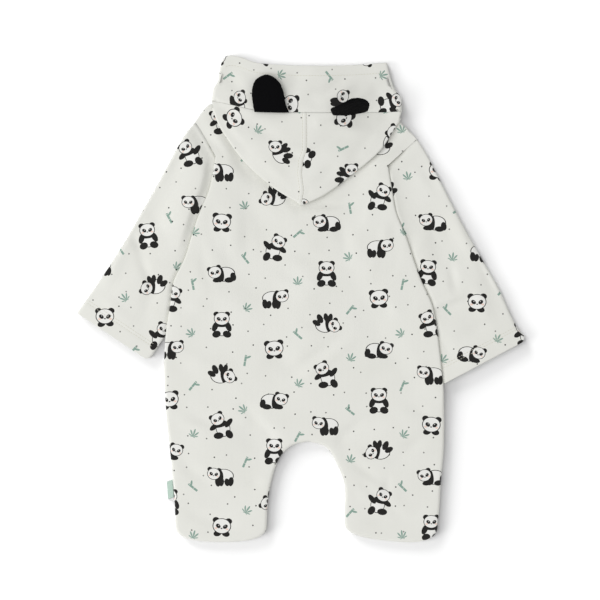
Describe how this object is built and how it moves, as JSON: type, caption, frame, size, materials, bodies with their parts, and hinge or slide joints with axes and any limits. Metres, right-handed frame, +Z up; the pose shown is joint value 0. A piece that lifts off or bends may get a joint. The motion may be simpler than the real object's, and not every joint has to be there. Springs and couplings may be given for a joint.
{
  "type": "baby panda onesie laid flat",
  "caption": "Hooded footed baby onesie with round panda ears, laid flat on its front with its back upwards.",
  "frame": {"origin": "on the floor, under the middle of the garment's box", "axes": "+Z up from the floor through the garment, from its front to its back; +Y from the feet to the rim of the hood; +X to the right as its back is seen, the wearer's right"},
  "size_m": [0.4914, 0.535, 0.0528],
  "materials": {
    "cotton_print": "matt",
    "black_fleece": "matt",
    "sage_tape": "satin",
    "painted_stud": "satin"
  },
  "bodies": {
    "root": {"back": "cotton_print", "front_left": "cotton_print", "front_right": "cotton_print", "sleeve_left": "cotton_print", "sleeve_right": "cotton_print", "hood_band": "cotton_print", "hood_side_left": "cotton_print", "hood_side_right": "cotton_print", "ear_left": "black_fleece", "ear_right": "black_fleece", "label": "sage_tape", "press_stud_1": "painted_stud", "press_stud_2": "painted_stud", "press_stud_3": "painted_stud", "press_stud_4": "painted_stud", "press_stud_5": "painted_stud", "press_stud_6": "painted_stud"}
  },
  "joints": []
}
